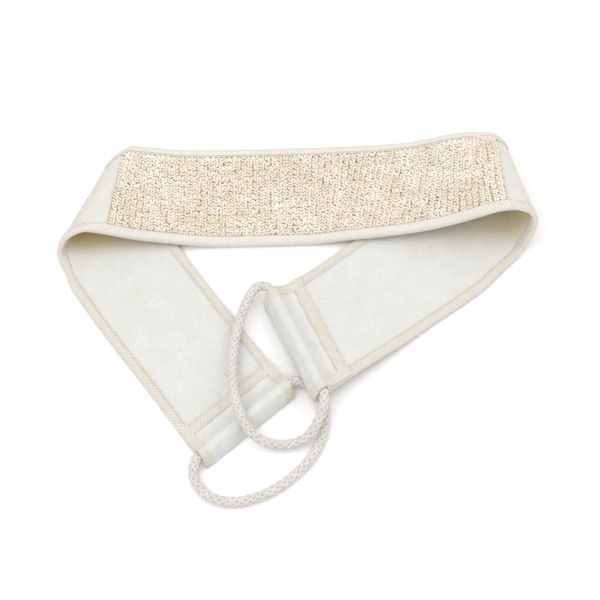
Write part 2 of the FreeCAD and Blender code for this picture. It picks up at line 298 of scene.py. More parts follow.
LEFT_ARM = [
    ((-69, -142, ARM_LEVEL), (-4, -83, ARM_LEVEL)),
    ((-92, -110, ARM_LEVEL), (-27, -51, ARM_LEVEL)),
    ((-121, -70, ARM_LEVEL), (-66, 4, ARM_LEVEL)),
    ((-156.5, -22, ARM_LEVEL), (-108, 65, ARM_LEVEL)),
    ((-173, 2, ARM_LEVEL), (-135, 107, ARM_LEVEL)),
    ((-179.5, 13, ARM_LEVEL), (-143, 119.5, ARM_LEVEL)),
]
LEFT_FOLD = fold_pairs(-168.5, -141, 64.0, -1, (13.8, 5.6), 1.69, -0.15, 0.45)[::-1]
MIDDLE = [
    (front_edge(-151, 26.5), rear_edge(-136, 12.6)),
    (front_edge(-130, 18.0), rear_edge(-121, 9.2)),
    (front_edge(-108, 11.8), rear_edge(-104, 5.8)),
    (front_edge(-86, 6.6), rear_edge(-82, 3.6)),
    (front_edge(-58, 3.2), rear_edge(-57, MIDDLE_LEVEL)),
    (front_edge(-25, MIDDLE_LEVEL), rear_edge(-22, MIDDLE_LEVEL)),
    (front_edge(8, 3.2), rear_edge(14, MIDDLE_LEVEL)),
    (front_edge(36, 8.0), rear_edge(52, 4.0)),
    (front_edge(66, 12.6), rear_edge(86, 6.4)),
    (front_edge(98, 20.0), rear_edge(110, 13.0)),
    (front_edge(127, 32.0), rear_edge(131, 18.6)),
    (front_edge(145, 41.8), rear_edge(145, 18.4)),
]
RIGHT_FOLD = fold_pairs(158.5, 155.5, 109.0, 1, (22.0, 7.2), 0.95, 0.3, 0.18)
RIGHT_ARM = [
    ((160.5, 26.5, LAID_LEVEL), (150, 135, LAID_LEVEL)),
    ((149, 14, LAID_LEVEL), (133, 125, LAID_LEVEL)),
    ((120, -10, LAID_LEVEL), (98, 95, LAID_LEVEL)),
    ((92, -31, 3.6), (58, 64, LAID_LEVEL)),
    ((67, -51, 8.2), (29, 40, 2.8)),
    ((44, -68.6, 12.1), (5, 20.9, 3.4)),
    ((27.5, -81.8, 13.7), (-11.5, 7.7, 4.9)),
    ((11, -95, 15.3), (-28, -5.5, 6.4)),
]
PAIRS = np.array(LEFT_ARM + LEFT_FOLD + MIDDLE + RIGHT_FOLD + RIGHT_ARM)
print(len(PAIRS), "pairs of edge points")


# %% [markdown]
# ## Between the pairs
#
# A line that passes through given points and bends as little as it can is a natural cubic spline,
# the curve of a thin strip of wood pinned at those points. Cloth that lies loosely takes nearly
# the same line, so the pairs are joined that way.

# %% A natural cubic spline through the pairs
def bend_terms(stops, values):
    """How much the curve bends at each stop, so that it is smooth and relaxed at both ends."""
    count = len(stops)
    step = np.diff(stops)
    matrix = np.eye(count)
    wanted = np.zeros(values.shape)
    for i in range(1, count - 1):
        matrix[i, i - 1:i + 2] = step[i - 1], 2 * (step[i - 1] + step[i]), step[i]
        after, before = values[i + 1] - values[i], values[i] - values[i - 1]
        wanted[i] = 6 * (after / step[i] - before / step[i - 1])
    return np.linalg.solve(matrix, wanted)


def read_spline(stops, values, bends, s):
    i = np.clip(np.searchsorted(stops, s, side="right") - 1, 0, len(stops) - 2)
    step = stops[i + 1] - stops[i]
    after = ((s - stops[i]) / step)[:, None]
    before = 1 - after
    curved = (before ** 3 - before) * bends[i] + (after ** 3 - after) * bends[i + 1]
    return before * values[i] + after * values[i + 1] + curved * (step ** 2 / 6)[:, None]


def pair_normals(pairs):
    """The way the loofah face looks at each pair."""
    middles = pairs.sum(1)
    along = np.empty_like(middles)
    along[1:-1] = middles[2:] - middles[:-2]
    along[0], along[-1] = middles[1] - middles[0], middles[-1] - middles[-2]
    found = np.cross(along, pairs[:, 1] - pairs[:, 0])
    return found / np.linalg.norm(found, axis=1)[:, None]


NORMALS = pair_normals(PAIRS)
STOPS = run_along(PAIRS.mean(1))
DATA = np.hstack((PAIRS[:, 0], PAIRS[:, 1], NORMALS))
BENDS = bend_terms(STOPS, DATA)
MIDDLE_FIRST = len(LEFT_ARM) + len(LEFT_FOLD)
MIDDLE_LAST = MIDDLE_FIRST + len(MIDDLE) - 1
MIDDLE_START, MIDDLE_END = STOPS[MIDDLE_FIRST], STOPS[MIDDLE_LAST]
FOLD_LEFT, FOLD_RIGHT = STOPS[len(LEFT_ARM)], STOPS[MIDDLE_LAST + len(RIGHT_FOLD)]
FOLD_CENTRES = (STOPS[len(LEFT_ARM) + BEND_STEPS // 2 + 1], STOPS[MIDDLE_LAST + BEND_STEPS // 2])


NARROW_REACH, NARROW_SHARES = 13.0, (0.14, 0.08)


def narrowing(s):
    """How much of its width the belt loses at s, because its rear corner is rounded by a fold."""
    return sum(share * np.exp(-((s - centre) / NARROW_REACH) ** 2)
               for share, centre in zip(NARROW_SHARES, FOLD_CENTRES))


CORNER_RADIUS = 3.5
CORNER_REACH = 6.0


def corner_cut(from_side):
    """How far the belt's end stands back at a distance from its side, for a rounded corner."""
    inside = CORNER_RADIUS - np.clip(from_side + 0.4, 0.4, CORNER_RADIUS)
    return CORNER_RADIUS - np.sqrt(CORNER_RADIUS ** 2 - inside ** 2)


def spot(s, across, height):
    """The place on the belt in metres: s mm along it, across mm from the front edge, height mm
    above the middle of the cloth on the loofah side. Takes numbers or arrays."""
    s, across, height = np.broadcast_arrays(*(np.asarray(v, float) for v in (s, across, height)))
    shape = s.shape
    cut = corner_cut(np.minimum(across, BELT_WIDTH - across))
    s = s + cut * np.clip(1 - s / CORNER_REACH, 0, 1)
    s = s - cut * np.clip(1 - (STOPS[-1] - s) / CORNER_REACH, 0, 1)
    read = read_spline(STOPS, DATA, BENDS, s.ravel())
    share = (across.ravel() / BELT_WIDTH * (1 - narrowing(s.ravel())))[:, None]
    place = read[:, :3] * (1 - share) + read[:, 3:6] * share + read[:, 6:] * height.ravel()[:, None]
    return (place * MM + SHIFT).reshape(*shape, 3)


LEFT_END, RIGHT_END = 0.0, STOPS[-1]
SPANS = {
    "left": (LEFT_END, MIDDLE_START),
    "middle": (MIDDLE_START, MIDDLE_END),
    "right": (MIDDLE_END, RIGHT_END),
}
PANEL_FRONT = (MIDDLE_START + 0.5, MIDDLE_END + 13.0)
PANEL_REAR = (MIDDLE_START - 7.0, MIDDLE_END + 14.5)
print("belt", round(RIGHT_END), "mm long; panel", round(MIDDLE_END - MIDDLE_START), "mm")

# %% [markdown]
# ## Cotton terry
#
# Terry is woven with an extra yarn that stands up in small loops, about 1.3 mm apart on a bath
# article. It scatters light like snow, so it has no gloss, and the ground between the loops lies in
# shade. Voronoi cells of the loops' size give the bumps and a painted grey shade between them, and a
# wide noise varies the colour as real cotton does.

# %% Material: cotton terry
def start_material(name, roughness, sheen):
    """A material with a Principled shader for dull fibre, and the object's own coordinates."""
    material = bpy.data.materials.new(name)
    material.use_nodes = True
    tree = material.node_tree
    shader = tree.nodes["Principled BSDF"]
    shader.inputs["Roughness"].default_value = roughness
    shader.inputs["Sheen Weight"].default_value = sheen
    shader.inputs["Sheen Roughness"].default_value = 0.5
    shader.inputs["Specular IOR Level"].default_value = 0.2
    place = add(tree, "ShaderNodeTexCoord")
    return material, tree, shader, place


def ramp(tree, value, *stops):
    """A colour ramp from pairs of (position, colour code)."""
    node = add(tree, "ShaderNodeValToRGB", {0: value})
    while len(node.color_ramp.elements) < len(stops):
        node.color_ramp.elements.new(0.5)
    for element, (position, code) in zip(node.color_ramp.elements, stops):
        element.position = position
        element.color = linear(code)
    return node.outputs[0]


def per_metre(size_mm):
    """The scale that makes one cell of a noise or Voronoi pattern this many millimetres."""
    return 1 / (size_mm * MM)


def grain_of(tree, place, size_mm, **settings):
    """Noise with grains of one size."""
    links = {"Vector": place.outputs["Object"], "Scale": per_metre(size_mm), **settings}
    return add(tree, "ShaderNodeTexNoise", links).outputs["Fac"]


def mixed(tree, share, first, second, **settings):
    """Two colours in one."""
    node = add(tree, "ShaderNodeMix", {0: share, 6: first, 7: second}, data_type="RGBA", **settings)
    return node.outputs[2]


def clouded(tree, place, colour, size_mm, detail, start, end, tone):
    """The colour with wide soft patches of another tone over it."""
    patches = ramp(tree, grain_of(tree, place, size_mm, Detail=detail), (start, "FFFFFF"), (end, tone))
    return mixed(tree, 1.0, colour, patches, blend_type="MULTIPLY")


def complete(tree, shader, colour, height, strength, depth_mm):
    """Gives the shader its colour and its bumps."""
    tree.links.new(colour, shader.inputs["Base Color"])
    bump = add(tree, "ShaderNodeBump", {"Height": height, "Strength": strength,
               "Distance": depth_mm * MM})
    tree.links.new(bump.outputs[0], shader.inputs["Normal"])


LOOP_PITCH = 1.3


def terry_material(name, light, dark, inside):
    material, tree, shader, place = start_material(name, 0.95, 0.25)
    cells = add(tree, "ShaderNodeTexVoronoi", {"Vector": place.outputs["Object"],
                "Scale": per_metre(LOOP_PITCH), "Randomness": 0.8})
    # Painted shade: the ramp turns grey far from each cell's centre, where the hollows between the
    # loops lie.
    loops = ramp(tree, cells.outputs["Distance"], (0.25, light), (0.95, dark))
    pile = clouded(tree, place, loops, 14, 3.0, 0.35, 0.7, "FAF9F6")
    # Painted shade: the mark set on each slab is mixed in as a warm yellow-brown that stands for the
    # shade far in the folds.
    fold_shade_mask = add(tree, "ShaderNodeAttribute", attribute_name="inside")
    pile_with_fold_shade = mixed(tree, fold_shade_mask.outputs["Fac"], pile, linear(inside))
    fibre = grain_of(tree, place, 0.5, Detail=2.0)
    relief = add(tree, "ShaderNodeMath", {0: cells.outputs["Distance"], 1: -1.0, 2: 1.0},
                 operation="MULTIPLY_ADD")
    height = add(tree, "ShaderNodeMath", {0: fibre, 1: 0.35, 2: relief.outputs[0]},
                 operation="MULTIPLY_ADD")
    complete(tree, shader, pile_with_fold_shade, height.outputs[0], 0.35, 0.5)
    return material


# DAC18C is a painted warm yellow-brown shade for the terry far in the folds.
# DADAD5 is the painted grey shade between the loops.
terry = terry_material("cotton terry, looped pile", "E4E4E1", "DADAD5", "DAC18C")
print("made", terry.name)

# %% [markdown]
# ## Plain cotton cloth and twill tape
#
# The smooth face is a plain weave: threads over and under in a fine check. Bias tape is twill,
# whose threads step sideways and leave slanting ribs about 1.3 mm apart. Both patterns belong to
# the cloth's own direction, so they read the UV map, which is in millimetres. The ribs are drawn
# at 2.4 mm, because the real ones are too fine to show.

# %% Materials: plain weave, twill tape
RIB_PITCH = 2.4
THREAD_PITCH = 0.9


def wave_scale(pitch_mm):
    """Blender's wave texture repeats every 0.314 of its vector at scale 1."""
    return 0.31416 / pitch_mm


def plain_weave(name, light, dark):
    material, tree, shader, place = start_material(name, 0.85, 0.15)
    waves = []
    for direction in ("X", "Y"):
        wave = add(tree, "ShaderNodeTexWave", {"Vector": place.outputs["UV"],
                   "Scale": wave_scale(THREAD_PITCH), "Distortion": 0.6, "Detail": 1.0},
                   bands_direction=direction)
        waves.append(wave.outputs["Fac"])
    both = add(tree, "ShaderNodeMath", {0: waves[0], 1: waves[1]}, operation="MULTIPLY")
    check = ramp(tree, both.outputs[0], (0.0, dark), (0.5, light))
    colour = clouded(tree, place, check, 9, 4.0, 0.3, 0.75, "F8F6F1")
    complete(tree, shader, colour, both.outputs[0], 0.35, 0.3)
    return material


def twill(name, arm, middle, slant, relief):
    """arm and middle are (light, dark) colours; the tape goes from one to the other with the
    number marked "rolled" on it."""
    material, tree, shader, place = start_material(name, 0.8, 0.2)
    turned = add(tree, "ShaderNodeMapping", {"Vector": place.outputs["UV"],
                 "Rotation": (0, 0, math.radians(slant))})
    ribs = add(tree, "ShaderNodeTexWave", {"Vector": turned.outputs[0],
               "Scale": wave_scale(RIB_PITCH), "Distortion": 0.9, "Detail": 2.0,
               "Detail Scale": 2.0})
    flat = ramp(tree, ribs.outputs["Fac"], (0.02, arm[1]), (0.35, arm[0]))
    round_part = ramp(tree, ribs.outputs["Fac"], (0.0, middle[1]), (0.28, middle[0]))
    rolled = add(tree, "ShaderNodeAttribute", attribute_name="rolled")
    lines = mixed(tree, rolled.outputs["Fac"], flat, round_part)
    colour = clouded(tree, place, lines, 7, 4.0, 0.3, 0.75, "FAF6F0")
    complete(tree, shader, colour, ribs.outputs["Fac"], relief, 0.4)
    return material


cotton = plain_weave("plain woven cotton", "EAE9E3", "E2E0D9")
front_tape = twill("cotton twill bias tape, front edge", ("DEDCD5", "D5D0C6"),
                   ("EAE7E1", "D7D1C7"), -35, 0.3)
rear_tape = twill("cotton twill bias tape, rear edge", ("DEDCD5", "D5D0C6"),
                  ("E9E6E0", "E2DED6"), 35, 0.2)
print("made", cotton.name, front_tape.name, rear_tape.name)

# %% [markdown]
# ## Loofah yarn
#
# The panel is knitted from loofah and cotton fibre spun into a thick, hairy yarn. It is cream with
# darker flecks, and where the stitches part, the brown ground shows. The stitches are real
# geometry further down, so this material only adds the hairs and the flecks, drawn about 0.7 mm
# wide so that they show.

# %% Materials: loofah yarn and its ground
def yarn_material(name, light, mid, dark, relief, shares):
    """shares is where the noise turns from dark to mid and on to light."""
    material, tree, shader, place = start_material(name, 0.9, 0.2)
    fleck = grain_of(tree, place, 2.2, Detail=5.0, Roughness=0.65)
    flecked = ramp(tree, fleck, *zip(shares, (dark, mid, light)))
    colour = clouded(tree, place, flecked, 18, 2.0, 0.3, 0.7, "F9F4EC")
    complete(tree, shader, colour, grain_of(tree, place, 0.7, Detail=3.0), relief, 0.5)
    return material


yarn = yarn_material("loofah yarn, spun", "FAF6EE", "F5EEE3", "E6D9C6", 0.25,
                     (0.28, 0.38, 0.50))
ground = yarn_material("loofah ground between stitches", "E4D7C2", "D3C2A6", "8C7355",
                       0.8, (0.40, 0.46, 0.54))
print("made", yarn.name, ground.name)

# %% [markdown]
# ## Rope cotton and sewing thread
#
# A braided cotton rope is soft strands of many fine yarns. The strands are modelled, so their material
# draws the yarns: fine lines along each strand, on its UV map, and a painted shade in the braid's
# small holes and on its core. Sewing thread is smoother and a little pink against the cloth.

# %% Materials: rope strand, sewing thread
def strand_material(name, light, dark, crevice_shade_colour, yarn_mm):
    """The last colour is a painted shade for the braid's small holes: a strand gets it where it is
    marked as sinking below another, and the core gets it all over.
    """
    material, tree, shader, place = start_material(name, 0.85, 0.2)
    turned = add(tree, "ShaderNodeMapping", {"Vector": place.outputs["UV"],
                 "Rotation": (0, 0, math.radians(72))})
    yarns = add(tree, "ShaderNodeTexWave", {"Vector": turned.outputs[0],
                "Scale": wave_scale(yarn_mm), "Distortion": 0.8, "Detail": 2.0})
    lines = ramp(tree, yarns.outputs["Fac"], (0.0, dark), (0.4, light))
    strand = clouded(tree, place, lines, 6, 3.0, 0.3, 0.75, "F6F2EB")
    # Painted shade: where the mark says so, the strand's colour gives way to the darker crevice
    # colour.
    crevice_shade = add(tree, "ShaderNodeAttribute", attribute_name="crevice_shade")
    colour = mixed(tree, crevice_shade.outputs["Fac"], strand, linear(crevice_shade_colour))
    complete(tree, shader, colour, yarns.outputs["Fac"], 0.5, 0.2)
    return material


# The last colour of each is a painted shade for the braid's small holes and its core.
rope_cotton = strand_material("braided cotton strand", "E4E3E0", "DAD8D3", "9E9484", 1.1)
sleeve_cotton = strand_material("cotton sleeve over the rope's joint",
                                "ECE8DE", "DCD5C8", "B5AA98", 1.1)
thread = strand_material("sewing thread, polyester", "E5D4C5", "D6C3B1", "C7AE95", 0.5)
print("made", rope_cotton.name, thread.name)

# %% [markdown]
# ## The belt's layers
#
# Terry and cloth are two flat layers sewn back to back. Each is made as a thin closed slab over
# the belt's surface. The belt is cut into three lengths where the model turns: the left arm with
# its fold, the middle, and the right arm with its fold. The terry's open face gets a fine grain
# of raised and sunk points, so that its pile has a real shape and not only shading.

# %% Slabs over the belt
BODY = {"left": "left_arm", "middle": "middle", "right": "right_arm"}


def stations(span, step):
    return np.linspace(span[0], span[1], max(2, round((span[1] - span[0]) / step) + 1))


def slab(name, span, edges, low, high, step, material, grain=0.0, rear_span=None):
    """A closed slab between two heights. grain roughens its terry face, in mm. rear_span is the
    span along the rear edge, where it differs from the front one."""
    s = stations(span, step)
    rear = np.linspace(*(rear_span or span), len(s))
    columns = np.linspace(edges[0], edges[1], round((edges[1] - edges[0]) / step) + 1)
    across = np.concatenate((columns, columns[::-1]))
    height = np.concatenate((np.full(len(columns), high), np.full(len(columns), low)))
    lift = np.tile(height, (len(s), 1))
    if grain:
        for i, along in enumerate(s):
            for j in range(len(columns), 2 * len(columns)):
                where = Vector((along / LOOP_PITCH, across[j] / LOOP_PITCH, 0))
                lift[i, j] += grain * noise.noise(where)
    run = s[:, None] + (rear - s)[:, None] * across[None, :] / BELT_WIDTH
    places = spot(run, across[None, :], lift)
    piece = skin(name, places, material, crease=60)
    # Marks the painted fold shade on each slab; only the terry's colour reads it.
    mark(piece, "inside", painted_fold_shade(run, places))
    return piece


# Where the painted fold shade starts behind the middle's front edge, how fast it rises, how far it
# reaches along the belt, and its strength at the left and the right fold.
FOLD_SHADE_STARTS, FOLD_SHADE_RISE, FOLD_SHADE_REACH = 8.0, 18.0, 75.0
FOLD_SHADE_SHARES = (1.0, 0.6)


def painted_fold_shade(run, places):
    """Painted shade for the terry in the folds: 0 in the open and up to 1 far in a fold, from each
    place's distance behind the middle's front edge and from its way along the belt (run) to the
    nearest fold. There the terry is painted a warm yellow-brown that stands for the shade and warm
    bounce light in the fold, not for the cloth's own tone."""
    x, y = (places[..., k] / MM - SHIFT[k] / MM for k in (0, 1))
    covered = smooth_step((y - front_edge(x, 0)[1] + FOLD_SHADE_STARTS) / FOLD_SHADE_RISE)
    near = [share * np.exp(-((run - centre) / FOLD_SHADE_REACH) ** 2)
            for share, centre in zip(FOLD_SHADE_SHARES, FOLD_CENTRES)]
    return covered * sum(near)


INNER = (TAPE_THICK + 0.2, BELT_WIDTH - TAPE_THICK - 0.2)
TERRY_STEP, TERRY_GRAIN, CLOTH_STEP = 1.5, 0.22, 3.0
belt = {}
for side, span in SPANS.items():
    belt[side, "terry"] = slab(f"{side}_terry_pile", span, INNER, TERRY_LOW, TERRY_TOP,
                               TERRY_STEP, terry, TERRY_GRAIN)
    belt[side, "cloth"] = slab(f"{side}_smooth_cloth", span, INNER, CLOTH_LOW, CLOTH_TOP,
                               CLOTH_STEP, cotton)
    print(side, "terry:", len(belt[side, "terry"].data.polygons), "faces")

# %% [markdown]
# ## The bindings
#
# A bias tape is folded over each raw edge and sewn through. On the arms it lies flat. Along the
# middle it also covers the panel's edge, so it is thick and round there, like a cord. Each is a
# closed section of (across, height) corners that is swept along the belt; the outer corners are
# rounded by dividing the section's outline first.

# %% Sweep the bindings
def rounded(section, cut=0.3):
    """The outline with every corner cut off twice, as a tailor's curve is drawn."""
    outline = np.array(section, float)
    for _ in range(2):
        after = np.roll(outline, -1, axis=0)
        first = outline + (after - outline) * cut
        second = outline + (after - outline) * (1 - cut)
        outline = np.stack((first, second), axis=1).reshape(-1, 2)
    return outline


FLAT_TAPE = [
    (TAPE_WIDTH, CLOTH_TOP + 0.3), (TAPE_WIDTH - 0.2, CLOTH_TOP + 0.4), (3.0, TAPE_FACE + 0.1),
    (0, TAPE_FACE - 0.3), (-0.3, -0.4), (0, TAPE_BACK + 0.3), (3.0, TAPE_BACK - 0.1),
    (TAPE_WIDTH, TAPE_BACK), (TAPE_WIDTH, TAPE_BACK + TAPE_THICK),
    (TAPE_THICK, TAPE_BACK + TAPE_THICK), (TAPE_THICK, TAPE_FACE - TAPE_THICK),
    (TAPE_WIDTH, CLOTH_TOP + 0.02),
]
ROLLED_TAPE = [
    (PANEL_INSET - 0.2, PANEL_TOP - 0.3), (PANEL_INSET - 0.8, PANEL_TOP + 0.4),
    (4.6, PANEL_TOP + 1.2), (2.0, PANEL_TOP + 0.8), (-0.2, PANEL_TOP - 1.0), (-0.5, CLOTH_LOW),
    (0.2, TAPE_BACK + 0.2), (TAPE_WIDTH, TAPE_BACK), (TAPE_WIDTH, TAPE_BACK + TAPE_THICK),
    (TAPE_THICK, TAPE_BACK + TAPE_THICK), (TAPE_THICK, PANEL_LOW), (PANEL_INSET - 0.2, PANEL_LOW),
]


def between(s, left, right):
    """0 before the first pair of places, 1 between the pairs, 0 again after the second."""
    rise = smooth_step((s - left[0]) / (left[1] - left[0]))
    return rise * smooth_step((right[1] - s) / (right[1] - right[0]))


def roundness(s):
    """0 where the tape is flat and 1 where it is rolled over the panel's edge."""
    return between(s, (MIDDLE_START - 16, MIDDLE_START - 3), (MIDDLE_END + 12, MIDDLE_END + 24))


def paleness(s):
    """0 on the arms and 1 along the middle, where the tape is washed whiter."""
    return between(s, (FOLD_LEFT, MIDDLE_START), (MIDDLE_END, FOLD_RIGHT))


def binding(name, span, material, rear):
    s = stations(span, 2.0)
    flat, rolled = rounded(FLAT_TAPE), rounded(ROLLED_TAPE)
    share = roundness(s)
    outline = flat + (rolled - flat) * share[:, None, None]
    across = BELT_WIDTH - outline[..., 0] if rear else outline[..., 0]
    piece = skin(name, spot(s[:, None], across, outline[..., 1]), material, crease=70)
    mark(piece, "rolled", np.repeat(paleness(s), len(flat)))
    return piece


for side, span in SPANS.items():
    for edge, rear, fabric in (("outer", False, front_tape), ("inner", True, rear_tape)):
        belt[side, edge] = binding(f"{side}_{edge}_bias_tape", span, fabric, rear)
print("bindings:", sum(key[1] in ("outer", "inner") for key in belt))

# %% [markdown]
# ## A tree that lays shapes in rows
#
# Stitches repeat thousands of times. Modelling them one by one is out of the question, and an
# array modifier can't follow a bent surface evenly. So a Geometry Nodes tree puts one small shape
# on every point it is given. Each point carries two directions of its own: along the row and up
# from the cloth. A seed and two spreads make the shapes differ a little, as hand or machine work
# does.

# %% Geometry Nodes: shapes in rows
def rows_tree(title):
    tree = bpy.data.node_groups.new(title, "GeometryNodeTree")
    for label, kind, value in (
        ("Geometry", "NodeSocketGeometry", None), ("Shape", "NodeSocketObject", None),
        ("Length", "NodeSocketFloat", 1.0), ("Width", "NodeSocketFloat", 1.0),
        ("Height", "NodeSocketFloat", 1.0), ("Size spread", "NodeSocketFloat", 0.1),
        ("Turn spread", "NodeSocketFloat", 0.1), ("Seed", "NodeSocketInt", 1),
        ("Finish", "NodeSocketMaterial", None),
    ):
        socket = tree.interface.new_socket(label, in_out="INPUT", socket_type=kind)
        if value is not None:
            socket.default_value = value
    tree.interface.new_socket("Geometry", in_out="OUTPUT", socket_type="NodeSocketGeometry")
    given = add(tree, "NodeGroupInput").outputs
    along = add(tree, "GeometryNodeInputNamedAttribute", {"Name": "along"}, data_type="FLOAT_VECTOR")
    up = add(tree, "GeometryNodeInputNamedAttribute", {"Name": "up"}, data_type="FLOAT_VECTOR")
    turn = add(tree, "FunctionNodeAxesToRotation",
               {"Primary Axis": up.outputs[0], "Secondary Axis": along.outputs[0]},
               primary_axis="Z", secondary_axis="X")
    shape = add(tree, "GeometryNodeObjectInfo", {"Object": given["Shape"]})
    less = add(tree, "ShaderNodeMath", {0: 0.0, 1: given["Turn spread"]}, operation="SUBTRACT")
    sway = add(tree, "FunctionNodeRandomValue", {2: less.outputs[0], 3: given["Turn spread"],
               8: given["Seed"]}, data_type="FLOAT")
    tilt = add(tree, "ShaderNodeCombineXYZ", {"Z": sway.outputs[1]})
    swayed = add(tree, "FunctionNodeRotateRotation",
                 {0: turn.outputs[0], 1: tilt.outputs[0]}, rotation_space="LOCAL")
    least = add(tree, "ShaderNodeMath", {0: 1.0, 1: given["Size spread"]}, operation="SUBTRACT")
    most = add(tree, "ShaderNodeMath", {0: 1.0, 1: given["Size spread"]}, operation="ADD")
    other = add(tree, "ShaderNodeMath", {0: given["Seed"], 1: 7.0}, operation="ADD")
    grow = add(tree, "FunctionNodeRandomValue", {2: least.outputs[0], 3: most.outputs[0],
               8: other.outputs[0]}, data_type="FLOAT")
    size = add(tree, "ShaderNodeCombineXYZ",
               {"X": given["Length"], "Y": given["Width"], "Z": given["Height"]})
    scaled = add(tree, "ShaderNodeVectorMath", {0: size.outputs[0], 3: grow.outputs[1]},
                 operation="SCALE")
    laid = add(tree, "GeometryNodeInstanceOnPoints",
               {"Points": given["Geometry"], "Instance": shape.outputs["Geometry"],
                "Rotation": swayed.outputs[0], "Scale": scaled.outputs[0]})
    real = add(tree, "GeometryNodeRealizeInstances", {0: laid.outputs[0]})
    done = add(tree, "GeometryNodeSetMaterial",
               {"Geometry": real.outputs[0], "Material": given["Finish"]})
    add(tree, "NodeGroupOutput", {0: done.outputs[0]})
    return tree


ROWS = rows_tree("shapes in rows")


def lay_rows(name, points, along, up, shape, material, **sizes):
    """Runs the tree over points with their directions, and keeps the result as a plain mesh."""
    mesh = bpy.data.meshes.new(name + "_points")
    mesh.from_pydata([tuple(p) for p in points], [], [])
    for label, values in (("along", along), ("up", up)):
        attribute = mesh.attributes.new(label, "FLOAT_VECTOR", "POINT")
        attribute.data.foreach_set("vector", np.asarray(values, dtype=np.float32).ravel())
    holder = place_object(name + "_points", mesh)
    modifier = holder.modifiers.new("rows", "NODES")
    modifier.node_group = ROWS
    inputs = {item.name: item.identifier for item in ROWS.interface.items_tree
              if item.in_out == "INPUT"}
    for label, value in {"Shape": shape, "Finish": material, **sizes}.items():
        modifier[inputs[label]] = value
    bpy.context.view_layer.update()
    seen = holder.evaluated_get(bpy.context.evaluated_depsgraph_get())
    result = bpy.data.meshes.new_from_object(seen)
    holder.modifiers.clear()
    bpy.data.objects.remove(holder)
    result.name = name
    if not result.materials:
        result.materials.append(material)
    result.polygons.foreach_set("use_smooth", [True] * len(result.polygons))
    return place_object(name, result)


print("tree inputs:", [item.name for item in ROWS.interface.items_tree if item.in_out == "INPUT"])


# %% [markdown]
# ## One knitted stitch
#
# A knitted stitch shows as a V: two leaves of yarn that rise from the cloth, swell and dive under
# the next stitch. Each leaf is a short tube of five-sided rings that is thin at both ends. A few
# dozen faces are enough, because it is only 3 mm long and there are about 1,800.

# %% The stitch, in metres
def short_tube(path, radii, sides):
    """Points and faces of a closed tube about a path, in the path's own units."""
    path = np.array(path, float)
    points = []
    tangents = np.gradient(path, axis=0)
    for centre, tangent, radius in zip(path, tangents, radii):
        tangent = tangent / np.linalg.norm(tangent)
        side = np.cross(tangent, (0, 0, 1))
        side = side / np.linalg.norm(side)
        rise = np.cross(side, tangent)
        for turn in np.linspace(0, 2 * math.pi, sides, endpoint=False):
            points.append(centre + (side * math.cos(turn) + rise * math.sin(turn)) * radius)
    return points, tube_faces(len(path), sides)


def small_shape(name, parts, material):
    points, faces = [], []
    for part_points, part_faces in parts:
        start = len(points)
        points += [np.array(p) * MM for p in part_points]
        faces += [tuple(start + i for i in face) for face in part_faces]
    piece = new_piece(name, points, faces, None, material)
    face_outward(piece)
    return piece


WALE_PITCH = 4.6
COURSE_PITCH = 2.8
LEAF = [(0.1, -1.35, -0.5), (0.75, -0.5, 0.5), (1.45, 0.4, 0.55), (2.1, 1.35, -0.4)]
LEAF_RADII = (0.42, 0.78, 0.82, 0.42)
leaves = [short_tube([(x * way, y, z) for x, y, z in LEAF], LEAF_RADII, 5) for way in (1, -1)]
stitch = small_shape("knit_stitch", leaves, yarn)
print("stitch:", len(stitch.data.polygons), "faces")

# %% [markdown]
# ## The loofah panel
#
# The panel's ground is a thin slab. Above it the stitches stand in columns across the belt. In a
# real knit no two columns are quite alike: they lean, drift and crowd, so each column gets its own
# slow drift, and each stitch a small shift, from a seeded random generator.

# %% Ground and stitches of the panel
GROUND_TOP = PANEL_LOW + 1.2
belt["ground"] = slab("loofah_ground", PANEL_FRONT, (PANEL_INSET, BELT_WIDTH - PANEL_INSET),
                      PANEL_LOW, GROUND_TOP, CLOTH_STEP, ground, rear_span=PANEL_REAR)


def directions(s, across, height, s_step=0.5):
    """Unit vectors along the belt and up from its loofah face at each spot."""
    along = spot(s + s_step, across, height) - spot(s - s_step, across, height)
    width = spot(s, across + 0.5, height) - spot(s, across - 0.5, height)
    along = along / np.linalg.norm(along, axis=-1)[..., None]
    up = np.cross(along, width)
    return along, up / np.linalg.norm(up, axis=-1)[..., None]


def knit_spots(seed):
    draw = random.Random(seed)
    spots = []
    columns = round((PANEL_FRONT[1] - PANEL_FRONT[0]) / WALE_PITCH)
    courses = round((BELT_WIDTH - 2 * PANEL_INSET) / COURSE_PITCH)
    for i in range(columns):
        drift = draw.uniform(-0.5, 0.5)
        phase = draw.uniform(0, 2 * math.pi)
        offset = draw.uniform(-0.5, 0.5) * COURSE_PITCH
        for j in range(courses):
            across = PANEL_INSET + (j + 0.5) * COURSE_PITCH + 0.3 * offset
            across = min(max(across, PANEL_INSET + 1.2), BELT_WIDTH - PANEL_INSET - 1.2)
            start, end = (front + (rear - front) * across / BELT_WIDTH
                          for front, rear in zip(PANEL_FRONT, PANEL_REAR))
            s = start + (i + 0.5) * (end - start) / columns
            s += drift * math.sin(phase + 0.35 * j) + draw.uniform(-0.5, 0.5)
            s = min(max(s, start + 2.0), end - 2.0)
            spots.append((s, across + draw.uniform(-0.5, 0.5), GROUND_TOP + 0.2))
    return np.array(spots).T


knit = knit_spots(11)
knit_along, knit_up = directions(*knit)
belt["knit"] = lay_rows("loofah_knit", spot(*knit), knit_along, knit_up, stitch, yarn,
                        **{"Length": 1.12, "Width": 1.08, "Height": 0.85, "Size spread": 0.18,
                           "Turn spread": 0.45, "Seed": 3})
print("knit:", knit.shape[1], "stitches,", len(belt["knit"].data.polygons), "faces")

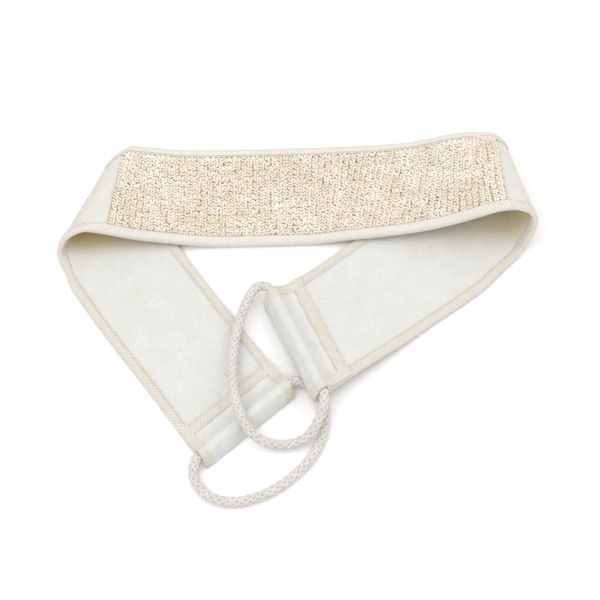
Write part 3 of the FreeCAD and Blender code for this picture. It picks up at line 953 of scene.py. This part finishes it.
# %% [markdown]
# ## The hems
#
# At each end of the belt the terry is turned back on itself and sewn down, which leaves a tunnel
# for the rope. A tape covers the flap's raw edge, and the side bindings are folded over the ends.
# All of it is built in the end's own directions: inward along the arm, across it, and up from the
# terry.

# %% The end's own directions
TUNNEL_CENTRE, TUNNEL_RADIUS, TUNNEL_HEIGHT = 7.5, 4.3, 5.15
HEM_LENGTH, HEM_THICK, HEM_GAP = 27.0, 1.4, 0.25
CROSS_TAPE_WIDTH, TAPE_GAP = 7.0, 0.3


class Hem:
    """One end of the belt. Its origin is the end's outer corner, on the terry. The flap and the
    cross tape go from inset to far across it, between the two side tapes."""

    def __init__(self, end, inner):
        front, rear = PAIRS[end]
        self.width = float(np.linalg.norm(rear - front))
        self.across = (rear - front) / self.width
        self.up = -NORMALS[end]
        along = PAIRS[inner].sum(0) - PAIRS[end].sum(0)
        square = np.cross(self.up, self.across)
        self.inward = along / abs(along @ square / np.linalg.norm(square))
        self.corner = front + self.up * -TERRY_LOW
        self.inset = (TAPE_WIDTH + 0.3) * self.width / BELT_WIDTH
        self.far = self.width - self.inset

    def at(self, inward, across, up):
        inward, across, up = (np.asarray(v, float)[..., None] for v in (inward, across, up))
        place = self.corner + self.inward * inward + self.across * across + self.up * up
        return place * MM + SHIFT


HEMS = {"left": Hem(0, 1), "right": Hem(len(PAIRS) - 1, len(PAIRS) - 2)}
for side, hem in HEMS.items():
    print(side, "hem:", round(hem.width, 1), "mm wide")


# %% [markdown]
# ## Tunnel, tapes and flap
#
# Each part of a hem is an outline seen from the side, pushed across the arm. A plain extrusion
# looks like a moulding, so the outline is carried over many short steps, and a slow noise lets
# the fabric rise and sink between them.

# %% Build the hems
def arc(radius, steps, first, last):
    """Points (inward, up) about the tunnel's axis, angles in degrees."""
    turns = np.radians(np.linspace(first, last, steps + 1))
    return [(TUNNEL_CENTRE + radius * math.cos(t), TUNNEL_HEIGHT + radius * math.sin(t))
            for t in turns]


def drape(end, low):
    """Points (inward, up) where the cloth slopes from the tunnel's top down to the flap."""
    start = arc(OUTER_RADIUS, 1, 66, 66)[0]
    points = []
    for part in np.linspace(0.08, 1, 12):
        fall = (1 - part) ** 2 * (1 + 0.6 * part)
        points.append((start[0] + (end - start[0]) * part, low + (start[1] - low) * fall))
    return points


def across_hem(name, hem, outline, start, stop, material, wave, crease=50):
    """An outline of (inward, up) points carried across the hem. wave is the noise's height."""
    steps = max(4, round((stop - start) / 1.5))
    rows = []
    for across in np.linspace(start, stop, steps + 1):
        cut = float(corner_cut(min(across, hem.width - across)))
        ring = []
        for inward, up in outline:
            where = Vector((inward / 9, up / 9, across / 8 + 3 * len(name)))
            fine = Vector((inward / LOOP_PITCH, up / LOOP_PITCH, across / LOOP_PITCH))
            lift = wave * noise.noise(where) + 0.4 * wave * noise.noise(fine)
            lean = 0.5 * wave * noise.noise(where + Vector((5, 5, 5)))
            lean += cut * min(1, max(0, 1 - inward / CORNER_REACH))
            ring.append((inward + lean, max(up + lift, 0.05) if inward > 0 else up))
        ring = np.array(ring)
        rows.append(hem.at(ring[:, 0], across, ring[:, 1]))
    return skin(name, np.array(rows), material, crease=crease)


OUTER_RADIUS = TUNNEL_RADIUS + HEM_THICK
FLAP_TOP = HEM_GAP + HEM_THICK
hem_pieces = {}
for side, hem in HEMS.items():
    flap = [(-0.1, -3.1), (-0.8, -3.1), (-1.1, -1.0), (-0.9, 1.0), (-0.2, 3.2), (0.8, 5.4)]
    flap += arc(OUTER_RADIUS, 10, 160, 66)
    flap += drape(HEM_LENGTH - 4, FLAP_TOP) + [(HEM_LENGTH - 2, FLAP_TOP)]
    flap += [(HEM_LENGTH, FLAP_TOP), (HEM_LENGTH, HEM_GAP)]
    flap += [(TUNNEL_CENTRE + TUNNEL_RADIUS, HEM_GAP)] + arc(TUNNEL_RADIUS + 0.1, 14, 0, 180)
    flap += [(TUNNEL_CENTRE - TUNNEL_RADIUS, HEM_GAP), (-0.1, HEM_GAP)]
    hem_pieces[side, "tunnel"] = across_hem(f"{side}_hem_flap", hem, flap, hem.inset, hem.far,
                                            terry, 0.5)
    edge = HEM_LENGTH + TAPE_GAP
    top = FLAP_TOP + 0.15
    cross = [(edge - 3.0, top), (edge - 2.8, top + 0.7), (edge, top + 0.8), (edge + 1.2, top + 0.5)]
    cross += [(edge + 3.5, top + 0.1), (edge + CROSS_TAPE_WIDTH, top - 0.4)]
    cross += [(edge + CROSS_TAPE_WIDTH, HEM_GAP), (edge, HEM_GAP), (edge, top)]
    hem_pieces[side, "tape"] = across_hem(f"{side}_flap_edge_tape", hem, cross, hem.inset, hem.far,
                                          rear_tape, 0.3)
print("hem pieces:", len(hem_pieces))

# %% [markdown]
# ## The side tapes of the hems
#
# Where the binding reaches the hem it is folded over the tunnel's mouth as well, so it arches
# over the rope. One outline does both: an arch over the tunnel and a flat tail on the flap.

# %% Side tapes over the tunnel's mouths
for side, hem in HEMS.items():
    rise = TERRY_LOW - TAPE_BACK + 0.15
    end = HEM_LENGTH + TAPE_GAP + CROSS_TAPE_WIDTH
    fold = [(-0.2, -3.9), (-1.0, -3.9), (-1.5, -1.0), (-1.3, 1.2), (-0.5, 3.6), (0.5, 5.8)]
    fold += arc(OUTER_RADIUS + 0.3, 10, 160, 66)
    fold += drape(HEM_LENGTH - 4, FLAP_TOP + rise) + [(HEM_LENGTH, FLAP_TOP + rise)]
    fold += [(end - 3, FLAP_TOP + rise), (end, FLAP_TOP + rise)]
    fold += [(end, rise), (TUNNEL_CENTRE + TUNNEL_RADIUS + 0.4, rise)]
    fold += arc(TUNNEL_RADIUS - 0.1, 12, 0, 180)
    fold += [(TUNNEL_CENTRE - TUNNEL_RADIUS - 0.1, rise), (-0.2, rise)]
    for label, start, stop in (("outer", 0.2, hem.inset), ("inner", hem.far, hem.width - 0.2)):
        name = f"{side}_{label}_hem_side_tape"
        hem_pieces[side, label] = across_hem(name, hem, fold, start, stop, rear_tape, 0.3)
print("hem pieces:", len(hem_pieces))

# %% [markdown]
# ## Sewing thread
#
# A lockstitch shows as short dashes of thread pulled slightly into the cloth, here 2.6 mm apart.
# Each row is a list of spots along the belt or across a hem, and the same tree as the knit lays
# one small rounded bead on each.

# %% The bead and the rows of stitches
STITCH_PITCH = 2.6
BEAD = [(-0.95, 0, -0.1), (-0.6, 0, 0.05), (0.6, 0, 0.05), (0.95, 0, -0.1)]
bead = small_shape("thread_bead", [short_tube(BEAD, (0.12, 0.28, 0.28, 0.12), 6)], thread)


def belt_row(span, across, face):
    """Stitch spots along the belt, on its loofah face (1) or its terry face (-1)."""
    s = np.arange(span[0] + 1.5, span[1] - 1.5, STITCH_PITCH)
    across = np.full(len(s), float(across))
    flat_up = CLOTH_TOP + 0.6
    rolled_up = flat_up + (PANEL_TOP + 0.65 - flat_up) * roundness(s)
    height = rolled_up if face > 0 else np.full(len(s), TAPE_BACK)
    along, up = directions(s, across, height)
    return spot(s, across, height), along, up * face


def hem_row(hem, inward, up):
    """Stitch spots across a hem."""
    across = np.arange(hem.inset + 1.0, hem.far - 1.0, STITCH_PITCH)
    points = hem.at(np.full(len(across), float(inward)), across, np.full(len(across), float(up)))
    return points, np.tile(hem.across, (len(across), 1)), np.tile(hem.up, (len(across), 1))


def sew(name, rows, seed):
    points, along, up = (np.concatenate([row[k] for row in rows]) for k in range(3))
    return lay_rows(name, points, along, up, bead, thread,
                    **{"Size spread": 0.08, "Turn spread": 0.08, "Seed": seed})


def binding_rows(side, inset):
    """One row near the inner edge of each binding, on both faces of the belt."""
    return [belt_row(SPANS[side], across, face)
            for across in (inset, BELT_WIDTH - inset) for face in (1, -1)]


threads = {"left": sew("left_binding_stitches", binding_rows("left", 6.2), 21),
           "right": sew("right_binding_stitches", binding_rows("right", 6.2), 22),
           "middle": sew("panel_stitches", binding_rows("middle", 6.6), 23)}
for side, hem in HEMS.items():
    rows = [hem_row(hem, HEM_LENGTH + 5.6, FLAP_TOP - 0.1),
            hem_row(hem, HEM_LENGTH - 1.8, FLAP_TOP + 0.85)]
    threads[side + " hem"] = sew(f"{side}_hem_stitches", rows, 24)
print("thread pieces:", len(threads))

# %% [markdown]
# ## The braided ropes
#
# An eight-strand braid has four strands winding one way and four the other, each passing over
# and under in turn. In numbers: a strand's angle grows steadily along the rope, and its distance
# from the centre swings out and in four times a turn, the two families in opposite step. Each
# strand is a flattened tube about that line, and a soft core fills the middle.

# %% Braid strands about a line
STRAND_PITCH = 25.0
BRAID_RADIUS, BRAID_SWING = 2.5, 0.45
STRAND_WIDE, STRAND_THICK, CORE_RADIUS = 1.58, 1.05, 1.9
STRANDS, STRAND_SIDES, BRAID_STEP = 8, 8, 0.9
STRAND_AROUND = 8.0


def even_line(points, step):
    """The same line with points an even step apart, in metres."""
    stops = run_along(points)
    wanted = np.linspace(0, stops[-1], max(2, round(stops[-1] / step) + 1))
    return np.stack([np.interp(wanted, stops, points[:, k]) for k in range(3)], axis=1), wanted


def carried_frames(points):
    """Two directions square to the line at each point, carried along it without twisting."""
    tangents = np.gradient(points, axis=0)
    tangents /= np.linalg.norm(tangents, axis=1)[:, None]
    side = np.cross(tangents[0], (0, 0, 1))
    side /= np.linalg.norm(side)
    sides = []
    for tangent in tangents:
        side = side - tangent * (side @ tangent)
        side = side / np.linalg.norm(side)
        sides.append(side)
    sides = np.array(sides)
    return sides, np.cross(tangents, sides)


def joined(parts):
    """Several (points, faces, uvs) in one."""
    points, faces, uvs = [], [], []
    for part_points, part_faces, part_uvs in parts:
        start = len(points)
        points += list(part_points)
        faces += [tuple(start + i for i in face) for face in part_faces]
        uvs += part_uvs
    return points, faces, uvs


def tube_rings(centres, wide, thick, sides):
    """A closed tube about centres. wide and thick are unit directions times half sizes."""
    turns = np.linspace(0, 2 * math.pi, sides, endpoint=False)
    rings = (centres[:, None] + wide[:, None] * np.cos(turns)[None, :, None]
             + thick[:, None] * np.sin(turns)[None, :, None])
    ring = np.arange(sides + 1) * STRAND_AROUND / sides
    uvs = tube_uvs(run_along(centres) / MM, ring) + [(0, 0)] * (2 * sides)
    return rings.reshape(-1, 3), tube_faces(len(centres), sides), uvs


def braid(name, line, material):
    points, run = even_line(line, BRAID_STEP * MM)
    side, rise = carried_frames(points)
    parts, crevice_shade = [], []
    angle = 2 * math.pi * run / (STRAND_PITCH * MM)
    for k in range(STRANDS):
        way = 1 if k % 2 else -1
        turn = way * angle + (k // 2) * math.pi / 2
        out = side * np.cos(turn)[:, None] + rise * np.sin(turn)[:, None]
        swing = BRAID_RADIUS + way * BRAID_SWING * np.cos(4 * angle)
        centres = points + out * (swing * MM)[:, None]
        heading = np.gradient(centres, axis=0)
        heading /= np.linalg.norm(heading, axis=1)[:, None]
        broad = np.cross(heading, out)
        parts.append(tube_rings(centres, broad * STRAND_WIDE * MM, out * STRAND_THICK * MM,
                                STRAND_SIDES))
        # Painted shade: a strand is marked for the darker colour where it sinks towards the core, and
        # the core is marked all over.
        low = smooth_step((BRAID_RADIUS - 0.15 - swing) / (0.8 * BRAID_SWING))
        crevice_shade.append(np.repeat(0.5 * low, STRAND_SIDES))
    parts.append(tube_rings(points, side * CORE_RADIUS * MM, rise * CORE_RADIUS * MM, STRAND_SIDES))
    crevice_shade.append(np.ones(STRAND_SIDES * len(points)))
    piece = new_piece(name, *joined(parts), material)
    face_outward(piece)
    mark(piece, "crevice_shade", np.concatenate(crevice_shade))
    return piece


ropes = {"left": braid("left_loop_braid", left_line, rope_cotton),
         "right": braid("right_loop_braid", right_line, rope_cotton)}
print("rope faces:", {side: len(rope.data.polygons) for side, rope in ropes.items()})

# %% [markdown]
# ## The rope inside the tunnels
#
# Both ends of each rope run on through the tunnel and meet in its middle, where a tight cotton
# sleeve joins them. They are braided like the loops, from straight lines along the tunnel, and
# the sleeve is a plain tube, slightly waved where thread would be wound over it. All of this is
# out of sight and a guess.

# %% Rope ends and sleeves
SLEEVE_LENGTH, SLEEVE_RADIUS, SLEEVE_RINGS = 26.0, 4.15, 27
for side, hem in HEMS.items():
    middle = hem.width / 2
    halves = ((0.3, middle - 0.6), (middle + 0.6, hem.width - 0.3))
    ends = [hem.at(np.full(2, TUNNEL_CENTRE), np.array(half), np.full(2, TUNNEL_HEIGHT))
            for half in halves]
    ropes[side, "ends"] = [braid(f"{side}_rope_end_{k}", run, rope_cotton)
                           for k, run in enumerate(ends)]
    ring = []
    turns = np.linspace(0, 2 * math.pi, 24, endpoint=False)
    span = np.linspace(middle - SLEEVE_LENGTH / 2, middle + SLEEVE_LENGTH / 2, SLEEVE_RINGS)
    for i, across in enumerate(span):
        drawn_in = 0.5 if i in (0, SLEEVE_RINGS - 1) else 0
        radius = SLEEVE_RADIUS + 0.06 * math.sin(2.4 * i) - drawn_in
        ring.append(hem.at(TUNNEL_CENTRE + radius * np.cos(turns), across,
                           TUNNEL_HEIGHT + radius * np.sin(turns)))
    ropes[side, "sleeve"] = skin(f"{side}_joining_sleeve", np.array(ring), sleeve_cotton,
                                 crease=60)
print("rope pieces:", len(ropes))

# %% [markdown]
# ## Floor and light
#
# The belt lies on a plain pale floor. One large soft light from above and in front, a second from
# the side and an even white sky keep the shadows short and pale, so the weave shows by its own
# relief.

# %% Floor and lights
def floor_material():
    material, tree, shader, place = start_material("matt white card", 0.9, 0.0)
    cloud = add(tree, "ShaderNodeTexNoise", {"Vector": place.outputs["Object"], "Scale": 3.0})
    tree.links.new(ramp(tree, cloud.outputs["Fac"], (0.3, "FBFBFA"), (0.7, "FFFFFF")),
                   shader.inputs["Base Color"])
    return material


FLOOR_HALF, FLOOR_LEVEL = 3.0, -0.0004
corners = [(x * FLOOR_HALF, y * FLOOR_HALF, FLOOR_LEVEL)
           for x, y in ((-1, -1), (1, -1), (1, 1), (-1, 1))]
floor = new_piece("floor", corners, [(0, 1, 2, 3)], None, floor_material(), smooth=False)


def area_light(name, place, size, power):
    data = bpy.data.lights.new(name, "AREA")
    data.size = size
    data.energy = power
    lamp = place_object(name, data)
    lamp.location = place
    lamp.rotation_euler = (Vector((0, 0, 0)) - Vector(place)).to_track_quat("-Z", "Y").to_euler()


area_light("main softbox", (-0.45, -0.4, 1.5), 1.6, 13.5)
area_light("side softbox", (1.0, 0.3, 1.2), 1.2, 5.5)
world = bpy.data.worlds.new("studio")
world.use_nodes = True
sky = world.node_tree.nodes["Background"]
sky.inputs["Color"].default_value = (1, 1, 1, 1)
sky.inputs["Strength"].default_value = 0.64
bpy.context.scene.world = world
bpy.context.scene.view_settings.view_transform = "Standard"
for helper in (stitch, bead):
    bpy.data.objects.remove(helper)
print("stage ready")

# %% [markdown]
# ## Which piece moves with what
#
# The hem pieces ride on their arm, the ropes on their handle, and the middle's layers, panel and
# stitches on the middle. The arms' layers, bindings and stitches with their folds only have their
# places baked into their meshes; the points just below and just above each fold's axis, square to it,
# are found but nothing uses them.

# %% Ride
joints = {joint["name"]: joint for joint in frame["record"]["behaviour"]["joints"]}


def fold_band(joint, half):
    """The points just below and just above a fold's axis."""
    centre = np.array(joint["pos_m"])
    axis = np.array(joint["axis"])
    up = np.array((0, 0, 1)) - axis * axis[2]
    up /= np.linalg.norm(up)
    return centre - up * half * MM, centre + up * half * MM


for side, fold, half in (("left", "left_fold", 5.0), ("right", "right_fold", 6.4)):
    low, high = fold_band(joints[fold], half)
    for label in ("terry", "cloth", "outer", "inner"):
        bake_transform(belt[side, label])
    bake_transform(threads[side])
    for label in ("tunnel", "tape", "outer", "inner"):
        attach(hem_pieces[side, label], BODY[side])
    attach(threads[side + " hem"], BODY[side])
    for piece in [ropes[side], ropes[side, "sleeve"]] + ropes[side, "ends"]:
        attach(piece, side + "_handle")
for label in ("terry", "cloth", "outer", "inner"):
    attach(belt["middle", label], "middle")
for piece in (belt["ground"], belt["knit"], threads["middle"]):
    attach(piece, "middle")
print("bodies given")

# %% [markdown]
# ## What each piece stands for
#
# The CAD solids stay in the model for touch and weight, and the pieces here take over how they look.

# %% Replaced nodes
for side in SPANS:
    parts = {"terry": belt[side, "terry"], "cloth": belt[side, "cloth"],
             "outer_binding": belt[side, "outer"], "inner_binding": belt[side, "inner"]}
    for label, piece in parts.items():
        if side == "middle":
            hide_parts(f"middle_{label}")
        else:
            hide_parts(f"{side}_arm_{label}", f"{side}_fold_{label}")
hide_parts("loofah_panel")
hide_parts("panel_stitching")
for side in HEMS:
    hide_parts(f"{side}_hem_tunnel")
    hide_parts(f"{side}_cross_tape")
    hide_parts(f"{side}_hem_side_tapes")
    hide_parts(f"{side}_hem_stitching")
    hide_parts(f"{side}_rope")
    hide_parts(f"{side}_rope_ends")
    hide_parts(f"{side}_rope_sleeve")

# %% [markdown]
# ## Soft pieces
#
# Each side's bindings and stitches, and on the arms the hem pieces, are gathered in a list; nothing
# more is done with them here. The smooth line drawn here for a rope cuts the route's corners and is 3
# to 5 percent shorter than its CAD solid.

for side in SPANS:
    extras = [belt[side, "outer"], belt[side, "inner"], threads[side]]
    if side != "middle":
        extras += [hem_pieces[side, label] for label in ("tunnel", "tape", "outer", "inner")]
        extras.append(threads[side + " hem"])
